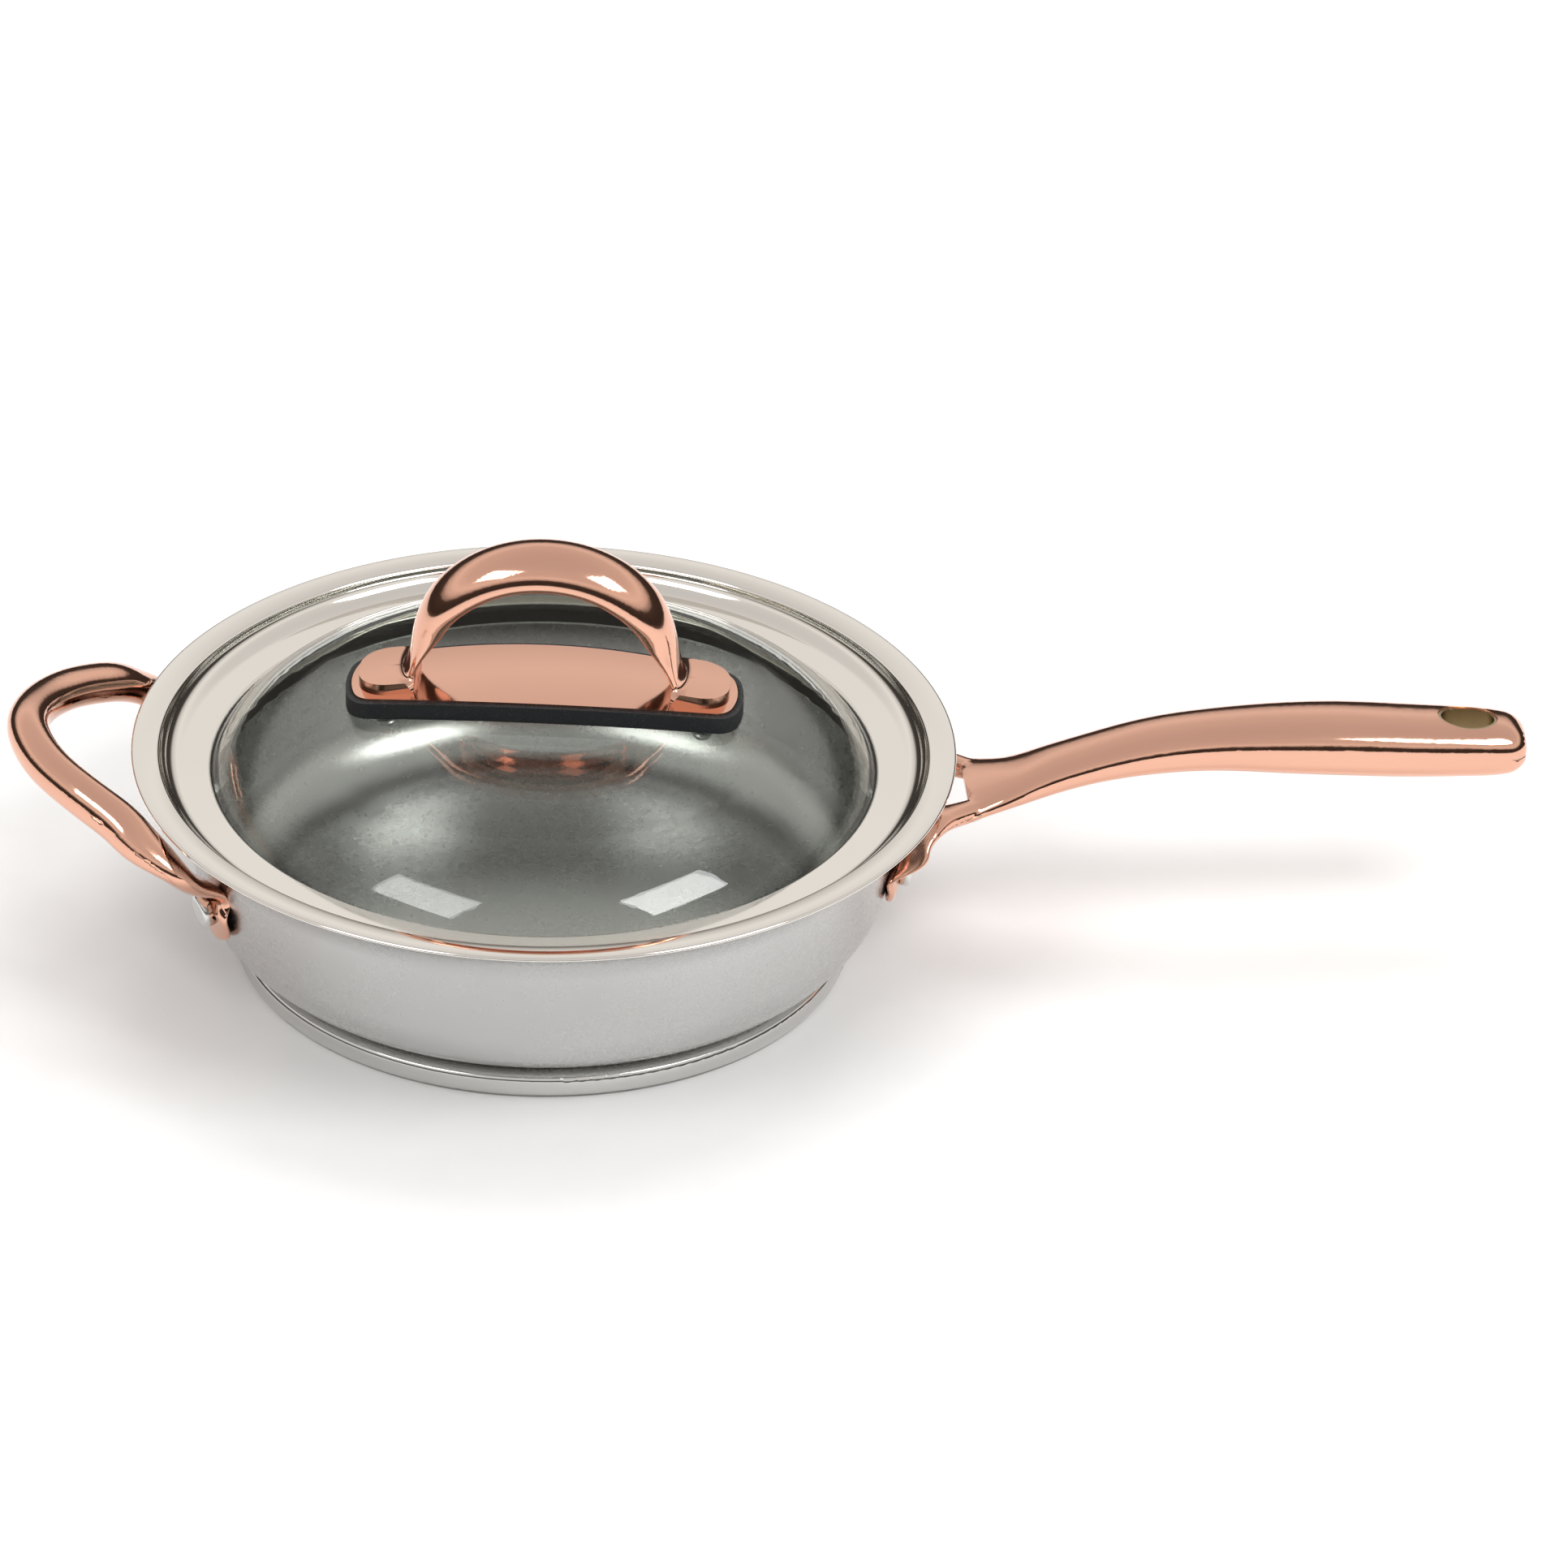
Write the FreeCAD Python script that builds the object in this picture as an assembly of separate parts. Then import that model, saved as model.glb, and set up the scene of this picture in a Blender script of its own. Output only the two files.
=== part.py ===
# Covered stainless pan: shallow flared body with an encapsulated base, a long forked handle,
# a loop-shaped helper handle and a sunken glass lid with a steel rim and an arched grip.
#
# Frame: origin on the pan's axis, on the surface that the pan stands on. +Z is up and +X runs
# along the long handle, away from the bowl. Lengths are in millimetres, angles in degrees.
import FreeCAD, Part
import math
import os

V = FreeCAD.Vector
UP = V(0, 0, 1)
ORIGIN = V(0, 0, 0)

# --- pan body ---------------------------------------------------------------------------------
PAN_HEIGHT = 68.1            # standing surface to the top of the pouring rim
MOUTH_RADIUS = 112.5         # outside of the wall where it starts to flare
WALL = 0.9                   # sheet of the body
WALL_LEAN = 11.0             # wall from the vertical
CORNER_RADIUS = 25.0         # outside, between floor and wall
RIM_FLARE_RADIUS = 20.0
RIM_FLARE_TURN = 59.0

# --- encapsulated base ------------------------------------------------------------------------
BASE_HEIGHT = 7.8            # standing surface to the underside of the body's floor
BASE_STEP = 12.8             # base beyond the flat of the floor
BASE_CAP_WALL = 0.7
BASE_EDGE_RADIUS = 3.0
BASE_SIDE = 2.6              # straight side of the capsule
BASE_SHOULDER_RADIUS = 2.2
BASE_SHOULDER_TURN = 70.0
CORE_MARGIN = 6.5            # heat disc inside the capsule's outer radius

# --- rivets and lugs --------------------------------------------------------------------------
RIVET_DROP = 29.5            # rivet centres below the top of the rim
RIVET_SHANK_RADIUS = 3.0
RIVET_HOLE_GAP = 0.05
RIVET_OUTER_RADIUS = 5.3
RIVET_OUTER_HEIGHT = 3.2
RIVET_INNER_RADIUS = 6.5
RIVET_INNER_HEIGHT = 3.0
RIVET_EDGE_RADIUS = 1.2
LEAF = 1.8                   # one of the two leaves of a lug
LUG_STATIONS = [             # height over the rivet, share of the lug's full width
    (-10.2, 0.42),
    (-8.0, 0.74),
    (-4.0, 0.95),
    (1.0, 1.0),
    (4.8, 0.96),
]

# --- long handle: stations as (distance off the wall, height over the rivets, half sizes) ------
LONG_RIVET_ANGLE = 14.0
HANDLE_SHEET = 1.2
HANDLE_SQUARENESS = 2.5
LUG_WIDTH = 24.0
LONG_STATIONS = [
    (21.8, 10.6, 18.3, 3.4),
    (27.8, 11.5, 15.6, 3.8),
    (35.8, 13.1, 12.9, 4.3),
    (45.8, 16.4, 11.4, 5.1),
    (57.8, 20.1, 11.0, 5.6),
    (77.8, 24.6, 11.5, 6.9),
    (98.8, 26.6, 12.2, 8.0),
    (119.8, 26.6, 13.4, 9.2),
    (141.8, 25.8, 13.9, 9.8),
    (161.8, 24.5, 13.6, 9.6),
    (179.8, 23.6, 12.9, 9.1),
    (189.8, 23.0, 12.0, 8.3),
    (193.8, 22.8, 10.6, 7.0),
    (196.2, 22.7, 8.2, 5.0),
]
LONG_HOLLOW = slice(2, 12)   # stations between which the handle is hollow
ARM_STATIONS = [
    (2.4, 9.5, 25.6, 10.2, 2.2),
    (7.0, 12.0, 23.0, 7.8, 2.6),
    (13.5, 11.8, 18.8, 5.2, 2.9),
    (21.0, 10.9, 14.0, 4.0, 3.0),
    (28.0, 11.6, 10.4, 3.6, 2.6),
]
HANG_HOLE_REACH = 178.5      # centre of the hang hole off the wall
HANG_HOLE_HALF_LENGTH = 9.5
HANG_HOLE_HALF_WIDTH = 7.0
HANG_SLEEVE_WALL = 1.0
HANG_SLEEVE_GAP = 0.05
HANG_SLEEVE_SINK = 0.5       # sleeve's rims below the handle's skin

# --- helper handle: one half of the loop, as (off the wall, height, off the middle, sizes) ----
HELPER_RIVET_ANGLE = 21.3
HELPER_SQUARENESS = 2.2
HELPER_LUG_WIDTH = 22.0
HELPER_STATIONS = [
    (2.6, 12.4, 46.0, 10.2, 3.2),
    (8.0, 21.2, 51.0, 8.6, 4.2),
    (15.5, 27.0, 49.2, 7.0, 5.2),
    (21.8, 31.4, 44.0, 6.8, 6.0),
    (28.5, 34.4, 38.0, 6.6, 6.2),
    (35.5, 36.9, 31.0, 6.5, 6.2),
    (42.3, 38.9, 22.0, 6.5, 6.2),
    (47.3, 40.6, 11.0, 6.5, 6.2),
    (49.2, 41.3, 0.0, 6.5, 6.2),
]
HELPER_SOLID_ENDS = 7        # stations from each lug's tip before the tube is hollow

# --- lid: pressed rim, glass, seal and clamp ring ---------------------------------------------
LID_LIFT_GAP = 0.4           # lid's flange over the pan's rim
LID_SIDE_GAP = 0.5           # lid's plug inside the mouth
RIM_SHEET = 0.8
GROOVE_RADIUS = 6.4          # upper face of the concave wall
GROOVE_TURN = 78.0
FLANGE_BEND_RADIUS = 1.5
FLANGE_RISE = 8.0            # slope of the flange where it leaves the groove
FLANGE_CROWN_RADIUS = 40.0
FLANGE_CROWN_TURN = 10.0
EDGE_RADIUS = 1.0            # droop of the flange's outer edge
EDGE_TURN = 60.0
BAND_WIDTH = 8.2             # flat band between groove and glass
LIP_RADIUS = 1.1
LIP_TURN = 75.0
GLASS_THICKNESS = 4.0
GLASS_CROWN_RADIUS = 350.0
GLASS_SHOULDER_RADIUS = 43.5
GLASS_EDGE_SLOPE = 62.0
GLASS_LIP_GAP = 1.0          # glass under the rim's inner lip
GLASS_TUCK = 1.6             # glass edge beyond the lip
SEAL_HEIGHT = 7.2
SEAL_REACH = 2.9             # seal beyond the lip, under the band
SEAL_INNER_REACH = 2.6       # seal inside the lip, under the glass
CLAMP_SHEET = 0.7
CLAMP_FLANGE = 3.6
CLAMP_BEND = 0.8

# --- grip on the lid --------------------------------------------------------------------------
GRIP_TURN = -7.7             # grip's length from +X, seen from above
PAD_HALF_LENGTH = 61.4
PAD_HALF_WIDTH = 20.2
PAD_END_HALF_WIDTH = 14.4
PAD_CORNER = 9.0
PAD_HEIGHT = 5.2
PLATE_MARGIN = 1.8           # black border that shows round the plate
PLATE_SHEET = 2.0
PLATE_PROUD = 0.5
FOOT_THICKNESS = 3.6
FOOT_HALF_WIDTH = 11.8
FOOT_TIP = 57.2
FOOT_ROOT = 39.6
FOOT_CORNER = 9.5
ARCH_HALF_SPAN = 40.8        # ridge of the arch
ARCH_SPRING = 10.6           # height over the plate where the ridge stands upright
ARCH_RISE = 34.6             # ridge over the spring line
ARCH_STATIONS = [            # angle from the top, strap height, half width, hollow under it
    (0.0, 11.5, 12.0, 0.60),
    (22.0, 11.3, 12.0, 0.60),
    (44.0, 11.0, 11.8, 0.56),
    (64.0, 10.0, 11.2, 0.50),
    (80.0, 8.5, 10.4, 0.40),
]
STRAP_LIP = 0.18             # height of the strap's edge, as a share of its own height
STRAP_ROLL = 0.72            # how far the edge rolls under
ANKLE_STATIONS = [           # ridge and inner face, across the grip and over the plate
    (42.0, 6.6, 37.8, 6.4, 10.2, 0.25),
    (43.0, 2.8, 39.4, 2.6, 10.0, 0.12),
    (44.8, 0.2, 41.0, -1.0, 9.8, 0.05),
]
STUD_REACH = 50.0            # studs from the middle of the grip
STUD_RADIUS = 2.5
STUD_HOLE_GAP = 0.1
GROMMET_WALL = 1.6
GROMMET_GAP = 0.05
SOFT_WASHER_RADIUS = 7.0
SOFT_WASHER_THICKNESS = 1.2
WASHER_RADIUS = 6.2
WASHER_THICKNESS = 1.0
NUT_ACROSS_FLATS = 8.0
NUT_HEIGHT = 4.0
NUT_CAP_RADIUS = 3.6
STUD_END_GAP = 0.6           # between the stud's end and the inside of the cap nut

SECTION_POINTS = 20
SEAM_TOLERANCE = 0.001
BIG = 400.0                  # reach of cutting solids beyond the object
TALL = 150.0                 # height of cutting solids through handles and grip


# --- sheet parts of revolution ----------------------------------------------------------------
def trace(start, heading, moves, side):
    """Edges of a run of straights (length, 0) and arcs (radius, turn), shifted left by side.

    The run lies in the XZ plane. Returns the edges, their two ends and the last heading.
    """
    x, z = start
    angle = math.radians(heading)
    edges = []
    first = None
    for size, turn in moves:
        normal = (-math.sin(angle), math.cos(angle))
        begin = V(x + side * normal[0], 0, z + side * normal[1])
        first = first or begin
        if turn == 0:
            x += size * math.cos(angle)
            z += size * math.sin(angle)
            finish = V(x + side * normal[0], 0, z + side * normal[1])
            edges.append(Part.LineSegment(begin, finish).toShape())
            continue
        hand = math.copysign(1.0, turn)
        centre = (x + hand * size * normal[0], z + hand * size * normal[1])
        radius = size - hand * side
        points = []
        for part in (0.0, 0.5, 1.0):
            spoke = angle - hand * math.pi / 2 + math.radians(turn) * part
            points.append(V(centre[0] + radius * math.cos(spoke), 0, centre[1] + radius * math.sin(spoke)))
        edges.append(Part.Arc(*points).toShape())
        angle += math.radians(turn)
        finish = points[2]
        x = centre[0] + size * math.cos(angle - hand * math.pi / 2)
        z = centre[1] + size * math.sin(angle - hand * math.pi / 2)
    return edges, first, finish, angle


def spun(edges):
    """Solid swept by a closed outline in the XZ plane, turned once about the pan's axis."""
    outline = Part.Wire(Part.__sortEdges__(edges))
    return Part.Face(outline).revolve(ORIGIN, UP, 360)


def sheet(start, heading, moves, thickness, rounded=False):
    """Ring or bowl of sheet; the thickness lies on the left of the run, or right if negative."""
    near, near_start, near_end, angle = trace(start, heading, moves, 0.0)
    far, far_start, far_end, angle = trace(start, heading, moves, thickness)
    along = V(math.cos(angle), 0, math.sin(angle))
    if rounded:
        middle = (near_end + far_end) * 0.5 + along * (abs(thickness) / 2)
        cap = Part.Arc(near_end, middle, far_end).toShape()
    else:
        cap = Part.LineSegment(near_end, far_end).toShape()
    return spun(near + far + [cap, Part.LineSegment(near_start, far_start).toShape()])


def ring(inner, outer, bottom, top):
    """Plain ring about the pan's axis."""
    body = Part.makeCylinder(outer, top - bottom, V(0, 0, bottom))
    return body.cut(Part.makeCylinder(inner, top - bottom, V(0, 0, bottom)))


# --- pan --------------------------------------------------------------------------------------
def lean():
    return math.radians(WALL_LEAN)


def flare_start_height():
    """Height at which the wall starts to flare, so that the rim's top is at PAN_HEIGHT."""
    edge_slope = math.radians(90 - WALL_LEAN - RIM_FLARE_TURN)
    rise = (RIM_FLARE_RADIUS + WALL) * math.cos(edge_slope)
    return PAN_HEIGHT - rise + RIM_FLARE_RADIUS * math.sin(lean())


def corner_top_height():
    return BASE_HEIGHT + CORNER_RADIUS * (1 - math.sin(lean()))


def wall_radius(height):
    """Outside radius of the straight wall at a height."""
    return MOUTH_RADIUS - (flare_start_height() - height) * math.tan(lean())


def floor_radius():
    return wall_radius(corner_top_height()) - CORNER_RADIUS * math.cos(lean())


def rivet_height():
    return PAN_HEIGHT - RIVET_DROP


def pan_moves():
    run = (flare_start_height() - corner_top_height()) / math.cos(lean())
    return [
        (floor_radius(), 0),
        (CORNER_RADIUS, 90 - WALL_LEAN),
        (run, 0),
        (RIM_FLARE_RADIUS, -RIM_FLARE_TURN),
    ]


def pan_blank():
    """Everything inside the pan's outer skin, up to its flared edge."""
    edges, first, last, angle = trace((0, BASE_HEIGHT), 0, pan_moves(), 0.0)
    top = V(0, 0, last.z)
    edges.append(Part.LineSegment(last, top).toShape())
    edges.append(Part.LineSegment(top, first).toShape())
    return spun(edges)


def pan_body():
    bowl = sheet((0, BASE_HEIGHT), 0, pan_moves(), WALL, rounded=True)
    return bowl.cut(Part.makeCompound(all_rivets(rivet_bore)))


def base_radius():
    return floor_radius() + BASE_STEP


def base_capsule():
    moves = [
        (base_radius() - BASE_EDGE_RADIUS, 0),
        (BASE_EDGE_RADIUS, 90),
        (BASE_SIDE, 0),
        (BASE_SHOULDER_RADIUS, BASE_SHOULDER_TURN),
        (BASE_STEP / 2, 0),
    ]
    return sheet((0, 0), 0, moves, BASE_CAP_WALL).cut(pan_blank())


def base_heat_disc():
    thickness = BASE_HEIGHT - BASE_CAP_WALL
    return Part.makeCylinder(base_radius() - CORE_MARGIN, thickness, V(0, 0, BASE_CAP_WALL))


# --- rivets -----------------------------------------------------------------------------------
def on_wall(shape, angle):
    """Place a shape made about +Z, with z = 0 at the wall's skin, on the wall at the rivets."""
    placed = shape.copy()
    placed.rotate(ORIGIN, V(0, 1, 0), 90 + WALL_LEAN)
    placed.translate(V(wall_radius(rivet_height()), 0, rivet_height()))
    placed.rotate(ORIGIN, UP, angle)
    return placed


def rivet():
    """Flat-headed outside, over both leaves of a lug, and domed inside the pan."""
    outer_face = 2 * LEAF
    stem = Part.makeCylinder(RIVET_SHANK_RADIUS, outer_face + WALL, V(0, 0, -WALL))
    head = Part.makeCylinder(RIVET_OUTER_RADIUS, RIVET_OUTER_HEIGHT, V(0, 0, outer_face))
    rim = [edge for edge in head.Edges if edge.CenterOfMass.z > outer_face + RIVET_OUTER_HEIGHT / 2
           and isinstance(edge.Curve, Part.Circle)]
    head = head.makeFillet(RIVET_EDGE_RADIUS, rim)
    sphere_radius = (RIVET_INNER_RADIUS ** 2 + RIVET_INNER_HEIGHT ** 2) / (2 * RIVET_INNER_HEIGHT)
    dome = Part.makeSphere(sphere_radius, V(0, 0, sphere_radius - RIVET_INNER_HEIGHT - WALL))
    dome.rotate(ORIGIN, UP, 45)
    slab = Part.makeCylinder(sphere_radius, RIVET_INNER_HEIGHT, V(0, 0, -WALL - RIVET_INNER_HEIGHT))
    return stem.fuse([head, dome.common(slab)]).removeSplitter()


def rivet_bore():
    """Hole for the shank, with a seat that keeps the handle clear of the outer head."""
    face = 2 * LEAF
    hole = Part.makeCylinder(RIVET_SHANK_RADIUS + RIVET_HOLE_GAP, face + 2 * WALL, V(0, 0, -2 * WALL))
    seat = Part.makeCylinder(RIVET_OUTER_RADIUS + RIVET_HOLE_GAP, 3 * RIVET_OUTER_HEIGHT, V(0, 0, face))
    return hole.fuse(seat)


def pair(make, angle, turn):
    """Two copies on the wall, either side of the direction turn."""
    return [on_wall(make(), turn - angle), on_wall(make(), turn + angle)]


def all_rivets(make):
    return pair(make, LONG_RIVET_ANGLE, 0) + pair(make, HELPER_RIVET_ANGLE, 180)


def trimmed_rivets(angle, turn):
    """Rivets with their inner domes trimmed to the round inside of the wall."""
    wall = pan_body()
    return Part.makeCompound([piece.cut(wall) for piece in pair(rivet, angle, turn)])


# --- skinned handles --------------------------------------------------------------------------
def skinned(rings, middles):
    """Solid whose smooth side passes through rings of points; middles are the rings' centres."""
    around = list(range(SECTION_POINTS + 1))
    along = [0.0]
    for first, second in zip(middles, middles[1:]):
        along.append(along[-1] + (second - first).Length)
    hoops = []
    for ring_points in rings:
        hoop = Part.BSplineCurve()
        hoop.interpolate(Points=ring_points, PeriodicFlag=True, Parameters=around)
        hoops.append(hoop)
    lines = []
    for index in range(1, hoops[0].NbPoles + 1):
        line = Part.BSplineCurve()
        line.interpolate(Points=[hoop.getPole(index) for hoop in hoops], Parameters=along)
        lines.append(line)
    surface = Part.BSplineSurface()
    surface.buildFromPolesMultsKnots(
        [line.getPoles() for line in lines],
        hoops[0].getMultiplicities(), lines[0].getMultiplicities(),
        hoops[0].getKnots(), lines[0].getKnots(),
        True, False, 3, 3)
    side = surface.toShape()
    ends = [Part.Face(Part.Wire(edge)) for edge in side.Edges if edge.isClosed()]
    shell = Part.makeShell([side] + ends)
    shell.sewShape()
    shell.fix(SEAM_TOLERANCE, SEAM_TOLERANCE, SEAM_TOLERANCE)
    solid = Part.makeSolid(shell)
    if solid.Volume < 0:
        solid.reverse()
    return solid


def oval(point, along, half_width, half_height, squareness):
    """Points of a superellipse across a path, from its lowest point; its width stays level."""
    across = UP.cross(along).normalize()
    over = along.cross(across).normalize()
    power = 2.0 / squareness
    points = []
    for index in range(SECTION_POINTS):
        turn = 2 * math.pi * index / SECTION_POINTS - math.pi / 2
        wide = math.copysign(abs(math.cos(turn)) ** power, math.cos(turn)) * half_width
        high = math.copysign(abs(math.sin(turn)) ** power, math.sin(turn)) * half_height
        points.append(point + across * wide + over * high)
    return points


def lofted(stations, squareness, inset=0.0):
    """Solid through ovals at stations (point, half width, half height)."""
    rings = []
    middles = [point for point, half_width, half_height in stations]
    for index, (point, half_width, half_height) in enumerate(stations):
        before = middles[max(index - 1, 0)]
        after = middles[min(index + 1, len(middles) - 1)]
        along = (after - before).normalize()
        rings.append(oval(point, along, half_width - inset, half_height - inset, squareness))
    return skinned(rings, middles)


def reach_radius():
    """Wall radius at the rivets, from which handle stations are measured."""
    return wall_radius(rivet_height())


def lug_stations(angle, lug_width):
    """Flat lug that climbs the wall from its rounded tip."""
    stations = []
    for height, share in LUG_STATIONS:
        radius = wall_radius(rivet_height() + height) + LEAF / math.cos(lean())
        turn = math.radians(angle)
        point = V(radius * math.cos(turn), radius * math.sin(turn), rivet_height() + height)
        stations.append((point, lug_width / 2 * share, LEAF))
    return stations


def station(reach, height, offset, half_width, half_height):
    return (V(reach_radius() + reach, offset, rivet_height() + height), half_width, half_height)


def long_spine():
    return [station(reach, height, 0, wide, high) for reach, height, wide, high in LONG_STATIONS]


def arm(side):
    """One arm of the fork, from its lug's tip into the handle."""
    stations = lug_stations(side * LONG_RIVET_ANGLE, LUG_WIDTH)
    for reach, height, offset, wide, high in ARM_STATIONS:
        stations.append(station(reach, height, side * offset, wide, high))
    return lofted(stations, HANDLE_SQUARENESS)


def hang_hole(grow=0.0):
    """Upright oval prism through the handle's end."""
    hole = Part.makeCylinder(1.0, TALL)
    stretch = FreeCAD.Matrix()
    stretch.A11 = HANG_HOLE_HALF_LENGTH + grow
    stretch.A22 = HANG_HOLE_HALF_WIDTH + grow
    hole = hole.transformGeometry(stretch)
    hole.translate(V(reach_radius() + HANG_HOLE_REACH, 0, 0))
    return hole


def hang_hole_sleeve():
    outer = hang_hole(-HANG_SLEEVE_GAP)
    tube = outer.cut(hang_hole(-HANG_SLEEVE_GAP - HANG_SLEEVE_WALL))
    inside = lofted(long_spine(), HANDLE_SQUARENESS, HANG_SLEEVE_SINK)
    return tube.common(inside)


def long_handle():
    """The whole long handle before it is parted into its two stampings."""
    spine = long_spine()
    body = lofted(spine, HANDLE_SQUARENESS).fuse([arm(1), arm(-1)])
    body = body.cut(lofted(spine[LONG_HOLLOW], HANDLE_SQUARENESS, HANDLE_SHEET))
    return body.cut(hang_hole()).cut(pan_blank())


def helper_path():
    """Stations of the whole loop, lug to lug, reaching along +X before it is turned round."""
    half = lug_stations(HELPER_RIVET_ANGLE, HELPER_LUG_WIDTH)
    for reach, height, offset, wide, high in HELPER_STATIONS:
        half.append(station(reach, height, offset, wide, high))
    mirrored = [(V(point.x, -point.y, point.z), wide, high) for point, wide, high in half[:-1]]
    return half + mirrored[::-1]


def helper_handle():
    """The whole helper handle before it is parted."""
    path = helper_path()
    hollow = path[HELPER_SOLID_ENDS:-HELPER_SOLID_ENDS]
    body = lofted(path, HELPER_SQUARENESS)
    body = body.cut(lofted(hollow, HELPER_SQUARENESS, HANDLE_SHEET))
    return body.cut(pan_blank())


def upper_zone(points):
    """Space over a parting line through points in the XZ plane, and behind the lugs' seam."""
    curve = Part.BSplineCurve()
    curve.interpolate(points)
    start = V(0, 0, points[0].z)
    corners = [V(BIG, 0, points[-1].z), V(BIG, 0, BIG), V(0, 0, BIG), start]
    edges = [curve.toShape(), Part.LineSegment(start, points[0]).toShape()]
    edges.append(Part.LineSegment(points[-1], corners[0]).toShape())
    for first, second in zip(corners, corners[1:]):
        edges.append(Part.LineSegment(first, second).toShape())
    face = Part.Face(Part.Wire(Part.__sortEdges__(edges)))
    face.translate(V(0, -BIG, 0))
    seam = LEAF / math.cos(lean())
    low = corner_top_height() - CORNER_RADIUS
    behind = Part.makeCone(wall_radius(low) + seam, wall_radius(PAN_HEIGHT) + seam, PAN_HEIGHT - low, V(0, 0, low))
    return face.extrude(V(0, 2 * BIG, 0)).fuse(behind)


def parting_start(angle, lug_width):
    """Where the parting line leaves the seam between a lug's two leaves."""
    point = lug_stations(angle, lug_width)[-1][0]
    return [V(point.x, 0, point.z)]


def parted(body, points, angle, turn):
    """Upper and lower stampings of a handle, with its rivet holes."""
    zone = upper_zone(points)
    halves = []
    for half in (body.common(zone), body.cut(zone)):
        half.rotate(ORIGIN, UP, turn)
        halves.append(half.cut(Part.makeCompound(pair(rivet_bore, angle, turn))))
    return halves


def long_handle_halves():
    line = parting_start(LONG_RIVET_ANGLE, LUG_WIDTH)
    line += [station(reach, height, 0, 1, 1)[0] for reach, height, offset, wide, high in ARM_STATIONS[:-1]]
    line += [point for point, wide, high in long_spine()[1:]]
    return parted(long_handle(), line, LONG_RIVET_ANGLE, 0)


def helper_handle_halves():
    line = parting_start(HELPER_RIVET_ANGLE, HELPER_LUG_WIDTH)
    line += [station(reach, height, 0, 1, 1)[0] for reach, height, offset, wide, high in HELPER_STATIONS]
    return parted(helper_handle(), line, HELPER_RIVET_ANGLE, 180)


# --- lid --------------------------------------------------------------------------------------
def flare_centre():
    """Centre of the pan's round flare: across the pan and up."""
    across = MOUTH_RADIUS + RIM_FLARE_RADIUS * math.cos(lean())
    return across, flare_start_height() - RIM_FLARE_RADIUS * math.sin(lean())


def groove_centre():
    """Centre of the groove's round wall, which clears the flare by LID_SIDE_GAP."""
    turn = math.radians(GROOVE_TURN)
    rise = math.radians(FLANGE_RISE)
    under_radius = GROOVE_RADIUS + RIM_SHEET
    flange_start = PAN_HEIGHT + LID_LIFT_GAP - FLANGE_CROWN_RADIUS * (1 - math.cos(rise))
    groove_end = flange_start - (FLANGE_BEND_RADIUS - RIM_SHEET) * (math.cos(rise) - math.cos(turn))
    up = groove_end + under_radius * math.cos(turn)
    apart = RIM_FLARE_RADIUS + WALL + LID_SIDE_GAP + under_radius
    across = flare_centre()[0] - math.sqrt(apart ** 2 - (up - flare_centre()[1]) ** 2)
    return across, up


def band_height():
    """Top of the flat band round the glass."""
    return groove_centre()[1] - GROOVE_RADIUS


def lip_radius():
    """Inner edge of the steel rim."""
    return groove_centre()[0] - BAND_WIDTH - LIP_RADIUS * math.sin(math.radians(LIP_TURN))


def lid_rim():
    moves = [
        (LIP_RADIUS, -LIP_TURN),
        (BAND_WIDTH, 0),
        (GROOVE_RADIUS, GROOVE_TURN),
        (FLANGE_BEND_RADIUS, FLANGE_RISE - GROOVE_TURN),
        (FLANGE_CROWN_RADIUS, -FLANGE_CROWN_TURN),
        (EDGE_RADIUS, -EDGE_TURN),
    ]
    turn = math.radians(LIP_TURN)
    start = (lip_radius(), band_height() - LIP_RADIUS * (1 - math.cos(turn)))
    return sheet(start, LIP_TURN, moves, -RIM_SHEET, rounded=True)


def glass_edge():
    """Outer edge of the glass, on its upper face: across and up."""
    slope = math.radians(GLASS_EDGE_SLOPE)
    return lip_radius() + GLASS_TUCK, band_height() - GLASS_TUCK * math.tan(slope) - GLASS_LIP_GAP


def crown_slope():
    """Slope at which the glass's flat crown turns into its shoulder."""
    slope = math.radians(GLASS_EDGE_SLOPE)
    spread = glass_edge()[0] - GLASS_SHOULDER_RADIUS * math.sin(slope)
    return math.asin(spread / (GLASS_CROWN_RADIUS - GLASS_SHOULDER_RADIUS))


def crown_height():
    """Top of the glass on the pan's axis."""
    slope = math.radians(GLASS_EDGE_SLOPE)
    drop = GLASS_CROWN_RADIUS * (1 - math.cos(crown_slope()))
    drop += GLASS_SHOULDER_RADIUS * (math.cos(crown_slope()) - math.cos(slope))
    return glass_edge()[1] + drop


def glass_blank():
    turn = math.degrees(crown_slope())
    moves = [(GLASS_CROWN_RADIUS, -turn), (GLASS_SHOULDER_RADIUS, turn - GLASS_EDGE_SLOPE)]
    return sheet((0, crown_height()), 0, moves, -GLASS_THICKNESS, rounded=True)


def lid_glass():
    return glass_blank().cut(stud_cylinders(grommet_radius() + GROMMET_GAP))


def glass_seal():
    bottom = band_height() - RIM_SHEET - SEAL_HEIGHT
    body = ring(lip_radius() - SEAL_INNER_REACH, lip_radius() + SEAL_REACH, bottom, band_height() - RIM_SHEET)
    return body.cut([glass_blank(), lid_rim()])


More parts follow.
